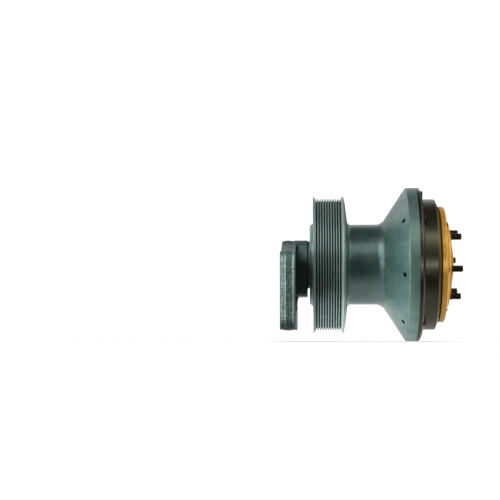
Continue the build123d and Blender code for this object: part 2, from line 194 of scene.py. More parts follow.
def castFinish(name, look):
    # a phosphate coat on sand-cast iron: a soft grey-green metallic sheen and a grainy skin
    material, tree, shader = newMaterial(
        name, Metallic=look["metallic"], Coat_Weight=look["coat"][0], Coat_Roughness=look["coat"][1],
        Coat_IOR=sealerIor)
    place = addNode(tree, "ShaderNodeTexCoord").outputs["Object"]
    sand = addNode(tree, "ShaderNodeTexNoise", {
        "Vector": place, "Scale": 1 / (look["sandGrain"] * mm), "Detail": 3.0, "Roughness": 0.6})
    shade = patchyShade(tree, place, look)
    speckle = addNode(tree, "ShaderNodeMapRange", {
        "Value": sand.outputs["Fac"], "From Min": speckleSpan[0], "From Max": speckleSpan[1],
        "To Min": 1 - look["speckle"], "To Max": 1 + look["speckle"]})
    skin = addNode(tree, "ShaderNodeVectorMath", {
        0: shade.outputs["Color"], "Scale": speckle.outputs["Result"]}, operation="SCALE")
    # sharp edges are painted pale: part rubbed wear, part painted highlight
    edge = addNode(tree, "ShaderNodeMapRange", {
        "Value": addNode(tree, "ShaderNodeNewGeometry").outputs["Pointiness"],
        "From Min": look["edgePoint"][0], "From Max": look["edgePoint"][1],
        "To Min": 0.0, "To Max": edgeWearHighlightMix})
    # sockets 6 and 7 are the two colours, and output 2 is the mixed one
    colour = addNode(tree, "ShaderNodeMix", {
        "Factor": edge.outputs["Result"], 6: skin.outputs[0], 7: linear(look["edgeWearHighlight"])},
        data_type="RGBA")
    dull = addNode(tree, "ShaderNodeMapRange", {
        "Value": sand.outputs["Fac"], "From Min": noiseSpan[0], "From Max": noiseSpan[1],
        "To Min": look["roughness"][0], "To Max": look["roughness"][1]})
    grain = addNode(tree, "ShaderNodeBump", {
        "Height": sand.outputs["Fac"], "Distance": look["sandHeight"] * mm, "Strength": 1.0})
    tree.links.new(colour.outputs[2], shader.inputs["Base Color"])
    tree.links.new(dull.outputs["Result"], shader.inputs["Roughness"])
    tree.links.new(grain.outputs["Normal"], shader.inputs["Normal"])
    tree.links.new(grain.outputs["Normal"], shader.inputs["Coat Normal"])
    return material


def turnedFinish(name, look):
    # a surface cut on a lathe: fine rings round the axis, over patchy colour
    coat = look.get("coat", (0, 0.03))      # without a sealer its weight is 0
    material, tree, shader = newMaterial(
        name, Metallic=look["metallic"], Coat_Weight=coat[0], Coat_Roughness=coat[1],
        Coat_IOR=sealerIor)
    place = addNode(tree, "ShaderNodeTexCoord").outputs["Object"]
    ring = addNode(tree, "ShaderNodeTexNoise", {
        "W": turningPosition(tree), "Scale": 1 / (look["latheRing"] * mm), "Detail": 2.0},
        noise_dimensions="1D")
    shade = patchyShade(tree, place, look)
    dull = addNode(tree, "ShaderNodeMapRange", {
        "Value": ring.outputs["Fac"], "From Min": noiseSpan[0], "From Max": noiseSpan[1],
        "To Min": look["roughness"][0], "To Max": look["roughness"][1]})
    marks = addNode(tree, "ShaderNodeBump", {
        "Height": ring.outputs["Fac"], "Distance": look["latheHeight"] * mm, "Strength": 1.0})
    tree.links.new(shade.outputs["Color"], shader.inputs["Base Color"])
    tree.links.new(dull.outputs["Result"], shader.inputs["Roughness"])
    tree.links.new(marks.outputs["Normal"], shader.inputs["Normal"])
    return material


drumLook = {
    "shades": [(0.30, "4c4a34"), (0.55, "55523c"), (0.75, "5e5944")],
    "patch": 20.0,
    "latheRing": 1.8,
    "latheHeight": 0.003,
    "metallic": 0.85,
    "roughness": (0.28, 0.34),
    "coat": (0.3, 0.25),
}
zincLook = {
    "shades": [(0.25, "e29e32"), (0.45, "efb045"), (0.62, "f7bd50"), (0.78, "eba952")],
    "patch": 9.0,
    "latheRing": 1.6,
    "latheHeight": 0.012,
    "metallic": 0.35,
    "roughness": (0.28, 0.38),
}
oxideLook = {
    "shades": [(0.35, "2c332c"), (0.65, "424b42")],
    "patch": 3.0,
    "latheRing": 0.9,
    "latheHeight": 0.01,
    "metallic": 0.75,
    "roughness": (0.24, 0.36),
}
steelLook = {
    "shades": [(0.35, "8e9194"), (0.65, "a9acae")],
    "patch": 6.0,
    "latheRing": 1.0,
    "latheHeight": 0.008,
    "metallic": 1.0,
    "roughness": (0.22, 0.34),
}
springLook = {
    "shades": [(0.35, "3c4048"), (0.65, "585c62")],
    "patch": 8.0,
    "latheRing": 1.0,
    "latheHeight": 0.01,
    "metallic": 1.0,
    "roughness": (0.30, 0.42),
}
rubberLook = {
    "shades": [(0.35, "141515"), (0.65, "1e1f1f")],
    "patch": 4.0,
    "latheRing": 1.2,
    "latheHeight": 0.02,
    "metallic": 0.0,
    "roughness": (0.55, 0.70),
}
liningLook = {
    "shades": [(0.35, "4b443a"), (0.55, "5d5546"), (0.70, "8a7346")],
    "patch": 1.6,
    "latheRing": 1.2,
    "latheHeight": 0.03,
    "metallic": 0.0,
    "roughness": (0.75, 0.90),
}
# painted shade for the walls of holes and recesses, darker than the iron around them
holeWallShadeLook = {
    "shades": [(0.35, "0d1211"), (0.65, "171d1b")],
    "patch": 3.0,
    "latheRing": 1.0,
    "latheHeight": 0.03,
    "metallic": 0.2,
    "roughness": (0.6, 0.8),
}
paintLook = {
    "shades": [(0.35, "8a1d0c"), (0.65, "a3301a")],
    "patch": 2.0,
    "latheRing": 1.2,
    "latheHeight": 0.02,
    "metallic": 0.0,
    "roughness": (0.35, 0.50),
}

# smooth grey-green sheen with a fine grain
castSkin = castFinish("phosphated_cast_iron", castLook)
# darker and coarser, with edges painted pale as rubbed wear and as a painted highlight
roughCastSkin = castFinish("phosphated_rough_cast_iron", roughCastLook)
# paler than the cast skin, with faint rings
turnedSkin = turnedFinish("phosphated_turned_iron", turnedLook)
# thick dark crystals on the machined faces
darkTurnedSkin = turnedFinish("phosphated_turned_face", darkTurnedLook)
# rubbed pale by the belt, and painted paler as a highlight on the rib tips
crestSkin = turnedFinish("belt_worn_crests_painted_highlight", crestLook)
# painted shade in the belt grooves, below the pale flanks
valleyPaintedShade = turnedFinish("belt_groove_painted_shade", valleyShadeLook)
# warm, almost black sheen
drumCoat = turnedFinish("dark_phosphate_on_turned_steel", drumLook)
# gold, with paler and redder patches
yellowZinc = turnedFinish("yellow_chromated_zinc", zincLook)
# oiled black with soft highlights
blackOxide = turnedFinish("black_oxide_steel", oxideLook)
# pale grey with fine rings
groundSteel = turnedFinish("ground_bearing_steel", steelLook)
# blue-grey from tempering
springSteel = turnedFinish("blued_spring_steel", springLook)
# dull black
sealRubber = turnedFinish("moulded_nitrile_rubber", rubberLook)
# brown, speckled with brass chips
frictionLining = turnedFinish("pressed_friction_lining", liningLook)
# painted shade on the walls of holes and recesses
holeWallShade = turnedFinish("hole_wall_painted_shade", holeWallShadeLook)
# a thick brushed dab
redPaint = turnedFinish("red_marking_paint", paintLook)
print("materials made")


# Mesh helpers
def finished(name, bm, materials, sharpAngle=32):
    mesh = bpy.data.meshes.new(name)
    bm.to_mesh(mesh)
    bm.free()
    mesh.shade_smooth()
    mesh.set_sharp_from_angle(angle=radians(sharpAngle))
    for material in materials:
        mesh.materials.append(material)
    piece = bpy.data.objects.new(name, mesh)
    bpy.context.scene.collection.objects.link(piece)
    return piece


def turned(profile, steps, closed=True, cornerSteps=3):
    # half section of (x, radius, corner rounding), spun about the fan's axis
    bm = bmesh.new()
    corners = [bm.verts.new((x * mm, 0, r * mm)) for x, r, rounding in profile]
    for start, end in zip(corners, corners[1:] + corners[:1] if closed else corners[1:]):
        bm.edges.new((start, end))
    for size in sorted({point[2] for point in profile if point[2]}):
        bmesh.ops.bevel(
            bm, geom=[v for v, point in zip(corners, profile) if point[2] == size],
            offset=size * mm, offset_type="OFFSET", segments=cornerSteps, profile=0.5,
            affect="VERTICES", material=-1)
    bmesh.ops.spin(
        bm, geom=bm.verts[:] + bm.edges[:], cent=(0, 0, 0), axis=(1, 0, 0),
        angle=2 * pi, steps=steps, use_merge=True)
    bmesh.ops.remove_doubles(bm, verts=bm.verts, dist=weld)
    bmesh.ops.recalc_face_normals(bm, faces=bm.faces)
    return bm


def onCircle(circleR, count, firstAngle):
    # turns a shape's centre from the origin on to each place of a ring of holes or screws
    return [
        Matrix.Rotation(radians(firstAngle + i * 360 / count), 4, "X")
        @ Matrix.Translation((0, circleR * mm, 0))
        for i in range(count)
    ]


def roundTops(bm, topX, crown):
    # rounds the rims of the flat ends at topX
    rims = [e for e in bm.edges if all(abs(v.co.x - topX * mm) < weld for v in e.verts)]
    bmesh.ops.bevel(
        bm, geom=rims, offset=crown * mm, offset_type="OFFSET", segments=2, profile=0.5,
        affect="EDGES", material=-1)


def rods(places, startX, endX, radius, steps=28):
    # round bars along X, one at each place
    bm = bmesh.new()
    along = Matrix.Translation(((startX + endX) / 2 * mm, 0, 0)) @ Matrix.Rotation(pi / 2, 4, "Y")
    for place in places:
        bmesh.ops.create_cone(
            bm, cap_ends=True, segments=steps, radius1=radius * mm, radius2=radius * mm,
            depth=(endX - startX) * mm, matrix=place @ along)
    return bm


def cutAway(piece, bm, sharpAngle=32):
    # takes the shape in bm out of the piece, and keeps the result in the mesh
    cutter = finished("cutter", bm, [])
    cut = piece.modifiers.new("cut", "BOOLEAN")
    cut.object = cutter
    cut.operation = "DIFFERENCE"
    cut.solver = "EXACT"
    graph = bpy.context.evaluated_depsgraph_get()
    mesh = bpy.data.meshes.new_from_object(piece.evaluated_get(graph))
    piece.modifiers.clear()
    old = piece.data
    piece.data = mesh
    mesh.name = piece.name
    mesh.set_sharp_from_angle(angle=radians(sharpAngle))
    bpy.data.meshes.remove(old)
    bpy.data.objects.remove(cutter)


def shadeHoleWalls(piece, material, places, holeR, fromX):
    # gives the walls that the holes cut, beyond fromX, a painted shade of their own
    index = piece.data.materials.find(material.name)
    axes = [(place.translation.y, place.translation.z) for place in places]
    wallR = (holeR + hair) * mm
    for face in piece.data.polygons:
        isWall = abs(face.normal.x) < wallLean
        if face.center.x > fromX * mm and isWall and any(
                hypot(face.center.y - y, face.center.z - z) < wallR for y, z in axes):
            face.material_index = index


def paintFaces(piece, material, chosen):
    # gives a finish to the faces whose centre, as x and distance from the axis, is chosen
    index = piece.data.materials.find(material.name)
    for face in piece.data.polygons:
        if chosen(face.center.x / mm, hypot(face.center.y, face.center.z) / mm):
            face.material_index = index


# Pulley, neck and cone: one casting
pulleySizes = {
    "hubRingX": 38.7,
    "hubRingR": 57.3,
    "hubRingChamfer": 3.3,
    "pulleyX": 43.1,
    "pulleyR": 95.0,
    "flangeWidth": 1.5,
    "flangeSlope": 1.8,
    "ribR": 92.2,
    "ribDepth": 4.89,
    "grooveCount": 10,
    "groovePitch": 3.56,
    "ribTip": 0.3,
    "ribTipWidth": 0.8,     # the belt has worn the tips flat
    "paleFlankDepth": 2.1,       # the flanks are pale down to here, worn by the belt and painted as a highlight; below is painted shade
    "valleyRound": 0.3,
    "shoulderDrop": 10.0,
    "shoulderWidth": 2.1,
    "webRise": 3.0,
    "neckR": 55.7,
    "neckRoot": 3.0,
    "neckLength": 47.3,
    "coneRoot": 4.9,
    "coneSlope": 56.7,
    "coneRings": (70.0, 80.0, 88.0, 92.0, 94.0, 96.5, 99.0, 101.0),     # keep the holes' edges local
    "rimR": 106.4,
    "rimWidth": 13.7,
    "rimBoreR": 90.0,
    "rimBoreDepth": 4.0,
    "cavityR": 85.0,
    "cavityDepth": 12.5,
    "bearingR": 42.5,
    "shoulderR": 38.0,
    "rearBearingEnd": 72.5,
    "frontBearingX": 110.0,
    "screwCircleR": 96.5,
    "screwCount": 8,
    "screwAngle": 190.8,
    "screwHoleR": 3.05,
    "cutterPast": 5.0,
    "boreRound": 0.6,
    "hubRingRound": 1.0,
    "fineRound": 0.4,
    "edgeRound": 0.5,
    "spigotRound": 0.3,
    "castRound": 1.5,
    "coneRound": 2.2,
    "rimTurnedR": 100.0,    # the rim is turned beyond here
    "beltSideR": 80.0,      # the belt runs outside this
    "hubRingMargin": 3.0,
    "paintMargin": 0.1,
    "steps": 288,
}


def makePulley(s):
    firstRib = s["pulleyX"] + s["flangeWidth"] + s["flangeSlope"]
    paleFlankR = s["ribR"] - s["paleFlankDepth"]
    flankWidth = (s["groovePitch"] - s["ribTipWidth"]) / 2
    paleFlankWidth = s["ribTipWidth"] / 2 + flankWidth * s["paleFlankDepth"] / s["ribDepth"]
    grooves = [(firstRib - s["ribTipWidth"], s["ribR"], s["ribTip"])]
    for i in range(s["grooveCount"]):
        ribX = firstRib + i * s["groovePitch"]
        nextX = ribX + s["groovePitch"]
        grooves += [
            (ribX - s["ribTipWidth"] / 2, s["ribR"], s["ribTip"]),
            (ribX + s["ribTipWidth"] / 2, s["ribR"], s["ribTip"]),
            (ribX + paleFlankWidth, paleFlankR, 0),
            (ribX + s["groovePitch"] / 2, s["ribR"] - s["ribDepth"], s["valleyRound"]),
            (nextX - paleFlankWidth, paleFlankR, 0),
        ]
    lastRib = firstRib + s["grooveCount"] * s["groovePitch"]
    grooves.append((lastRib, s["ribR"], s["ribTip"]))
    frontFlange = lastRib + s["flangeSlope"]
    web = frontFlange + s["flangeWidth"] + s["shoulderWidth"]
    neck = web + s["webRise"]
    cone = neck + s["neckLength"]
    slope = radians(s["coneSlope"])
    rim = cone + (s["rimR"] - s["neckR"]) / tan(slope)
    rimFace = rim + s["rimWidth"]
    bm = turned([
        (s["hubRingX"], s["bearingR"], s["boreRound"]),
        (s["hubRingX"], s["hubRingR"] - s["hubRingChamfer"], s["hubRingRound"]),
        (s["hubRingX"] + s["hubRingChamfer"], s["hubRingR"], s["hubRingRound"]),
        (s["pulleyX"], s["hubRingR"], s["fineRound"]),
        (s["pulleyX"], s["pulleyR"], s["edgeRound"]),
        (s["pulleyX"] + s["flangeWidth"], s["pulleyR"], s["edgeRound"]),
        *grooves,
        (frontFlange, s["pulleyR"], s["edgeRound"]),
        (frontFlange + s["flangeWidth"], s["pulleyR"], s["edgeRound"]),
        (web, s["pulleyR"] - s["shoulderDrop"], s["castRound"]),
        (neck, s["neckR"] + s["neckRoot"], s["castRound"]),
        (neck + s["neckRoot"], s["neckR"], s["castRound"]),
        (cone - s["coneRoot"], s["neckR"], s["coneRound"]),
        (cone + s["coneRoot"] * cos(slope), s["neckR"] + s["coneRoot"] * sin(slope),
         s["coneRound"]),
        *[(cone + (r - s["neckR"]) / tan(slope), r, 0) for r in s["coneRings"]],
        (rim, s["rimR"], s["edgeRound"]),
        (rimFace, s["rimR"], s["edgeRound"]),
        (rimFace, s["rimBoreR"], s["spigotRound"]),
        (rimFace - s["rimBoreDepth"], s["rimBoreR"], 0),
        (rimFace - s["rimBoreDepth"], s["cavityR"], s["edgeRound"]),
        (rimFace - s["cavityDepth"], s["cavityR"], s["edgeRound"]),
        (cone, s["bearingR"], s["edgeRound"]),
        (s["frontBearingX"], s["bearingR"], 0),
        (s["frontBearingX"], s["shoulderR"], s["fineRound"]),
        (s["rearBearingEnd"], s["shoulderR"], s["fineRound"]),
        (s["rearBearingEnd"], s["bearingR"], 0),
    ], s["steps"])
    piece = finished("pulleyCasting", bm, [
        castSkin, turnedSkin, holeWallShade, crestSkin, valleyPaintedShade, darkTurnedSkin])
    holes = onCircle(s["screwCircleR"], s["screwCount"], s["screwAngle"])
    cutAway(piece, rods(holes, cone, rimFace + s["cutterPast"], s["screwHoleR"]))
    beltR = s["beltSideR"]
    backX = s["pulleyX"] + s["paintMargin"]
    hubFaceX = s["hubRingX"] + s["paintMargin"]
    outsideHubRing = s["hubRingR"] + s["hubRingMargin"]
    paintFaces(piece, turnedSkin, lambda x, r: x < s["pulleyX"] or x > rim and r > s["rimTurnedR"])
    # the ribs get their pale skin: belt wear and painted highlight
    paintFaces(piece, crestSkin, lambda x, r: s["pulleyX"] <= x < web and r > beltR)
    # the grooves below the pale flanks get painted shade
    paintFaces(piece, valleyPaintedShade, lambda x, r: firstRib < x < lastRib and beltR < r < paleFlankR)
    paintFaces(piece, darkTurnedSkin, lambda x, r: x < backX and (r > outsideHubRing or x < hubFaceX))
    # the screw holes' walls get painted shade
    shadeHoleWalls(piece, holeWallShade, holes, s["screwHoleR"], cone)
    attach(piece, "pulley")
    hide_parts("pulley_hub")


makePulley(pulleySizes)
print("pulley made")

# Bracket: the CAD casting with its edges rounded and its skin uneven, machined faces flat
bracketSizes = {
    "voxel": 1.0,
    "smoothing": 3,
    "machinedDepth": 0.5,
    "skinWidth": 9.0,
    "skinHeight": 0.22,
    "partingX": 8.0,
    "partingWidth": 1.1,
    "partingHeight": 0.45,
    "seamZ": -9.5,          # a mould seam across the boss's sides
    "seamX": (16.0, 28.0),
    "draft": 0.09,          # the sides fall away from the parting line
    "draftWidth": 9.0,
    "boltHoleR": 9.0,
    "boltY": 118.0,
    "boltZ": (-0.8, -77.8),
    "turnedFromX": 34.0,
    "turnedR": 40.0,
    "sideLean": 0.6,        # a side's normal points along X less than this
    "seamFacing": 0.6,      # and the boss's sides point along Y more than this
    "sharpAngle": 50,
}


def makeBracket(s):
    bm = bmesh.new()
    bm.from_mesh(nodes["mounting_bracket"].data)
    bmesh.ops.remove_doubles(bm, verts=bm.verts, dist=weld)
    piece = finished("bracketCasting", bm, [])
    remesh = piece.modifiers.new("remesh", "REMESH")
    remesh.mode = "VOXEL"
    remesh.voxel_size = s["voxel"] * mm
    graph = bpy.context.evaluated_depsgraph_get()
    mesh = bpy.data.meshes.new_from_object(piece.evaluated_get(graph))
    old = piece.data
    bpy.data.objects.remove(piece)
    bpy.data.meshes.remove(old)
    bm = bmesh.new()
    bm.from_mesh(mesh)
    bpy.data.meshes.remove(mesh)
    for i in range(s["smoothing"]):
        bmesh.ops.smooth_vert(
            bm, verts=bm.verts, factor=0.5, use_axis_x=True, use_axis_y=True, use_axis_z=True)
    bm.normal_update()
    for vert in bm.verts:
        x = vert.co.x / mm
        if x < s["machinedDepth"]:
            vert.co.x = 0
            continue
        nearBolt = any(
            hypot(abs(vert.co.y) / mm - s["boltY"], vert.co.z / mm - z) < s["boltHoleR"]
            for z in s["boltZ"])
        if nearBolt or x > s["turnedFromX"]:
            continue
        lift = noise.noise(vert.co / (s["skinWidth"] * mm)) * s["skinHeight"]
        offParting = abs(x - s["partingX"])
        if offParting < s["draftWidth"] and abs(vert.normal.x) < s["sideLean"]:
            lift -= offParting * s["draft"]
            lift += max(0, 1 - offParting / s["partingWidth"]) * s["partingHeight"]
        if s["seamX"][0] < x < s["seamX"][1] and abs(vert.normal.y) > s["seamFacing"]:
            offSeam = abs(vert.co.z / mm - s["seamZ"])
            lift += max(0, 1 - offSeam / s["partingWidth"]) * s["partingHeight"]
        vert.co += vert.normal * lift * mm
    piece = finished(
        "bracketCasting", bm, [roughCastSkin, turnedSkin, darkTurnedSkin], s["sharpAngle"])
    paintFaces(piece, turnedSkin, lambda x, r: x > s["turnedFromX"] and r < s["turnedR"])
    paintFaces(piece, darkTurnedSkin, lambda x, r: x < hair)
    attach(piece, "bracket")
    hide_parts("mounting_bracket")


makeBracket(bracketSizes)
print("bracket made")

# Drum and its screws
drumSizes = {
    "rimFace": 184.67,
    "spigotDepth": 3.94,
    "spigotR": 89.94,
    "innerR": 84.6,
    "flangeR": 106.6,
    "flangeEdge": 3.9,
    "flangeDepth": 6.9,
    "bevel": 5.1,
    "drumR": 90.6,
    "length": 18.8,
    "noseDepth": 4.6,
    "noseR": 80.0,
    "lipR": 66.0,
    "lipDepth": 7.0,
    "fineRound": 0.4,
    "rimRound": 0.3,
    "flangeRound": 0.6,
    "rootRound": 0.5,
    "edgeRound": 0.8,
    "cavityRound": 1.0,
    "steps": 256,
}
screwSizes = {
    "circleR": 96.5,
    "count": 8,
    "angle": 190.8,
    "holeR": 3.05,
    "cutterPast": 5.0,
    "shankR": 3.0,
    "length": 18.0,
    "washerR": 5.7,
    "washer": 0.5,
    "flats": 10.0,
    "height": 2.7,
    "crown": 0.5,
}


def makeDrum(s, screws):
    face = s["rimFace"] + s["flangeDepth"]
    nose = face + s["length"]
    front = nose + s["noseDepth"]
    lip = front - s["lipDepth"]
    bm = turned([
        (s["rimFace"] - s["spigotDepth"], s["innerR"], s["fineRound"]),
        (s["rimFace"] - s["spigotDepth"], s["spigotR"], s["fineRound"]),
        (s["rimFace"], s["spigotR"], 0),
        (s["rimFace"], s["flangeR"], s["rimRound"]),
        (s["rimFace"] + s["flangeEdge"], s["flangeR"], s["flangeRound"]),
        (face, s["flangeR"] - s["bevel"], s["rootRound"]),
        (face, s["drumR"], s["edgeRound"]),
        (nose, s["drumR"], s["edgeRound"]),
        (front, s["noseR"], s["edgeRound"]),
        (front, s["lipR"], s["edgeRound"]),
        (lip, s["lipR"], s["fineRound"]),
        (lip, s["innerR"], s["cavityRound"]),
    ], s["steps"])
    piece = finished("drumShell", bm, [drumCoat])
    holes = onCircle(screws["circleR"], screws["count"], screws["angle"])
    past = screws["cutterPast"]
    cutAway(piece, rods(holes, s["rimFace"] - past, face + past, screws["holeR"]))
    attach(piece, "pulley")
    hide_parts("clutch_drum", "drum_flange")


def makeDrumScrews(s, face):
    places = onCircle(s["circleR"], s["count"], s["angle"])
    bm = rods(places, face - s["length"], face, s["shankR"])
    washers = rods(places, face, face + s["washer"], s["washerR"])
    cornerR = s["flats"] / 2 / cos(pi / 6)
    heads = rods(places, face + s["washer"], face + s["height"], cornerR, 6)
    roundTops(heads, face + s["height"], s["crown"])
    for part in (washers, heads):
        mesh = bpy.data.meshes.new("part")
        part.to_mesh(mesh)
        part.free()
        bm.from_mesh(mesh)
        bpy.data.meshes.remove(mesh)
    piece = finished("drumScrews", bm, [blackOxide])
    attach(piece, "pulley")
    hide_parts("drum_screws")


makeDrum(drumSizes, screwSizes)
makeDrumScrews(screwSizes, drumSizes["rimFace"] + drumSizes["flangeDepth"])
print("drum made")

# Fan disc: barrel, cylinder and face are one piece; the face falls away in turned steps
discSizes = {
    "discX": 216.0,
    "discR": 80.3,
    "edge": 7.2,
    "fanFace": 231.6,
    "faceR": 49.0,
    "ridgeR": 59.5,
    "ridgeDrop": 3.3,
    "shelfR": 65.0,
    "shelfDrop": 6.6,
    "mouthR": 33.21,
    "bearingR": 36.0,
    "bearingX": 186.0,
    "bearingEnd": 213.0,
    "barrelR": 43.0,
    "cylinderX": 205.0,
    "cylinderFloor": 213.5,
    "cylinderR": 58.0,
    "cylinderWallR": 64.0,
    "ridgeLip": 0.9,
    "ridgeWidth": 1.6,
    "ridgeFoot": (0.6, 0.4),
    "shelfSlant": 0.8,
    "beadHeight": 0.6,      # turned beads on the outer slope
    "beadCount": 4,
    "beadsFrom": (0.3, 1.2),
    "beadsTo": (0.3, 1.4),
    "rimChamfer": 0.6,
    "fineRound": 0.4,
    "faceRound": 0.8,
    "edgeRound": 0.5,
    "footRound": 0.6,
    "beadRound": 0.3,
    "sharpAngle": 24,
    "steps": 256,
}
markedScrewSizes = {
    "circleR": 67.0,
    "count": 6,
    "angle": 190.0,
    "recessR": 5.5,
    "recessSteps": 40,
    "recessFloor": 223.0,
    "r": 4.0,
    "steps": 32,
    "length": 7.4,
    "rise": 1.4,
    "crown": 0.4,
    "socketR": 2.1,
    "socketDepth": 1.0,
    "cutterPast": 1.0,
    "marked": (1, 5),       # which of them carry a dab of paint
    "dabR": 3.2,
    "dabStretch": 1.25,
    "dabHeight": 2.8,
    "dabPull": (0.2, 1, 1),
    "dabWaveWidth": 2.5,
    "dabWaveHeight": 0.5,
}


def makeFanDisc(s, screws):
    front = s["fanFace"]
    ridgeX = front - s["ridgeDrop"] + s["ridgeLip"]
    inner = (front - s["shelfDrop"] - s["beadsFrom"][0], s["shelfR"] + s["beadsFrom"][1])
    outer = (s["discX"] + s["edge"] + s["beadsTo"][0], s["discR"] - s["beadsTo"][1])
    beads = []
    for i in range(2 * s["beadCount"]):
        share = (i + 0.5) / (2 * s["beadCount"])
        rise = s["beadHeight"] / 2 if i % 2 else -s["beadHeight"] / 2
        beads.append((
            inner[0] + (outer[0] - inner[0]) * share + rise,
            inner[1] + (outer[1] - inner[1]) * share, s["beadRound"]))
    bm = turned([
        (s["bearingX"], s["bearingR"], s["fineRound"]),
        (s["bearingEnd"], s["bearingR"], 0),
        (s["bearingEnd"], s["mouthR"], 0),
        (front, s["mouthR"], s["fineRound"]),
        (front, s["faceR"], s["faceRound"]),
        (ridgeX, s["ridgeR"] - s["ridgeWidth"], s["edgeRound"]),
        (ridgeX, s["ridgeR"], s["edgeRound"]),
        (front - s["ridgeDrop"] - s["ridgeFoot"][0], s["ridgeR"] + s["ridgeFoot"][1], s["edgeRound"]),
        (front - s["shelfDrop"], s["shelfR"] - s["shelfSlant"], s["footRound"]),
        (*inner, s["edgeRound"]),
        *beads,
        (*outer, s["edgeRound"]),
        (s["discX"] + s["edge"] - s["rimChamfer"], s["discR"], s["edgeRound"]),
        (s["discX"], s["discR"], s["footRound"]),
        (s["discX"], s["cylinderWallR"], 0),
        (s["cylinderX"], s["cylinderWallR"], s["edgeRound"]),
        (s["cylinderX"], s["cylinderR"], s["edgeRound"]),
        (s["cylinderFloor"], s["cylinderR"], 0),
        (s["cylinderFloor"], s["barrelR"], 0),
        (s["bearingX"], s["barrelR"], s["fineRound"]),
    ], s["steps"])
    piece = finished("fanDisc", bm, [yellowZinc, holeWallShade], s["sharpAngle"])
    places = onCircle(screws["circleR"], screws["count"], screws["angle"])
    recesses = rods(places, screws["recessFloor"], front, screws["recessR"], screws["recessSteps"])
    cutAway(piece, recesses, s["sharpAngle"])
    # the recesses' walls get painted shade
    shadeHoleWalls(piece, holeWallShade, places, screws["recessR"], screws["recessFloor"])
    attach(piece, "fan_disc")
    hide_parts("fan_hub")


capSizes = {
    "rear": 224.0,
    "fanFace": 231.6,
    "spigotR": 33.2,
    "pilotR": 32.7,
    "pilotHeight": 1.6,
    "domeHeight": 4.5,
    "domeRings": 16,
    "spigotRound": 0.4,
    "pilotRound": 0.7,
    "steps": 160,
}


def makePilotCap(s):
    pilotTop = s["fanFace"] + s["pilotHeight"]
    sphereR = (s["pilotR"] ** 2 + s["domeHeight"] ** 2) / (2 * s["domeHeight"])
    dome = []
    for i in range(1, s["domeRings"] + 1):
        r = s["pilotR"] * (1 - i / s["domeRings"])
        dome.append((pilotTop + s["domeHeight"] - sphereR + (sphereR ** 2 - r ** 2) ** 0.5, r, 0))
    bm = turned([
        (s["rear"], 0, 0),
        (s["rear"], s["spigotR"], s["spigotRound"]),
        (s["fanFace"], s["spigotR"], 0),
        (s["fanFace"], s["pilotR"], 0),
        (pilotTop, s["pilotR"], s["pilotRound"]),
        *dome,
    ], s["steps"], closed=False)
    piece = finished("pilotCap", bm, [yellowZinc])
    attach(piece, "fan_disc")
    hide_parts("pilot_cap")


studSizes = {
    "circleR": 47.5,
    "count": 6,
    "angle": 190.0,
    "start": 219.6,
    "fanFace": 231.6,
    "end": 246.0,
    "gripR": 5.0,
    "r": 4.75,
    "chamfer": 1.1,
    "threadPitch": 1.5,
    "threadDepth": 0.85,
    "threadStart": 232.6,
    "ring": 0.25,           # spacing of the rings of points that the thread is pressed in
    "footRound": 0.4,
    "tipRound": 0.2,
    "sharpAngle": 50,
    "steps": 40,
}


def makeStuds(s):
    profile = [
        (s["start"], 0, 0),
        (s["start"], s["gripR"], s["footRound"]),
        (s["fanFace"], s["gripR"], 0),
        (s["fanFace"], s["r"], 0),
    ]
    rings = int((s["end"] - s["chamfer"] - s["fanFace"]) / s["ring"])
    profile += [(s["fanFace"] + i * s["ring"], s["r"], 0) for i in range(1, rings + 1)]
    profile += [(s["end"], s["r"] - s["chamfer"], s["tipRound"]), (s["end"], 0, 0)]
    stud = turned(profile, s["steps"], closed=False)
    # the thread is a helix pressed in, and it fades in over its first turn
    for vert in stud.verts:
        x = vert.co.x / mm
        radius = hypot(vert.co.y, vert.co.z) / mm
        if x <= s["threadStart"] or radius < s["r"] - s["chamfer"] / 2:
            continue
        angle = Vector((vert.co.y, vert.co.z)).angle_signed(Vector((1, 0)))
        phase = (x / s["threadPitch"] - angle / (2 * pi)) % 1
        fade = min(1, (x - s["threadStart"]) / s["threadPitch"])
        newR = radius - s["threadDepth"] * fade * abs(2 * phase - 1)
        vert.co.y *= newR / radius
        vert.co.z *= newR / radius
    mesh = bpy.data.meshes.new("stud")
    stud.to_mesh(mesh)
    stud.free()
    bm = bmesh.new()
    for place in onCircle(s["circleR"], s["count"], s["angle"]):
        before = len(bm.verts)
        bm.from_mesh(mesh)
        bmesh.ops.transform(bm, matrix=place, verts=bm.verts[before:])
    bpy.data.meshes.remove(mesh)
    piece = finished("fanStuds", bm, [blackOxide], s["sharpAngle"])
    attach(piece, "fan_disc")
    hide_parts("fan_studs")


def makeMarkedScrews(s):
    places = onCircle(s["circleR"], s["count"], s["angle"])
    top = s["recessFloor"] + s["rise"]
    bm = rods(places, top - s["length"], top, s["r"], s["steps"])
    roundTops(bm, top, s["crown"])
    piece = finished("markedScrews", bm, [blackOxide])
    cutAway(piece, rods(places, top - s["socketDepth"], top + s["cutterPast"], s["socketR"], 6))
    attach(piece, "fan_disc")
    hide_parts("marked_screws")
    # dabs of paint, pulled a little out of round
    bm = bmesh.new()
    flat = Matrix.Diagonal((
        s["dabHeight"] * mm, s["dabR"] * mm, s["dabR"] * s["dabStretch"] * mm, 1))
    for i in s["marked"]:
        bmesh.ops.create_icosphere(
            bm, subdivisions=4, radius=1,
            matrix=places[i] @ Matrix.Translation((top * mm, 0, 0)) @ flat)
    for vert in bm.verts:
        wave = noise.noise(vert.co / (s["dabWaveWidth"] * mm))
        vert.co += Vector(s["dabPull"]) * wave * s["dabWaveHeight"] * mm
    dab = finished("paintDabs", bm, [redPaint])
    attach(dab, "fan_disc")


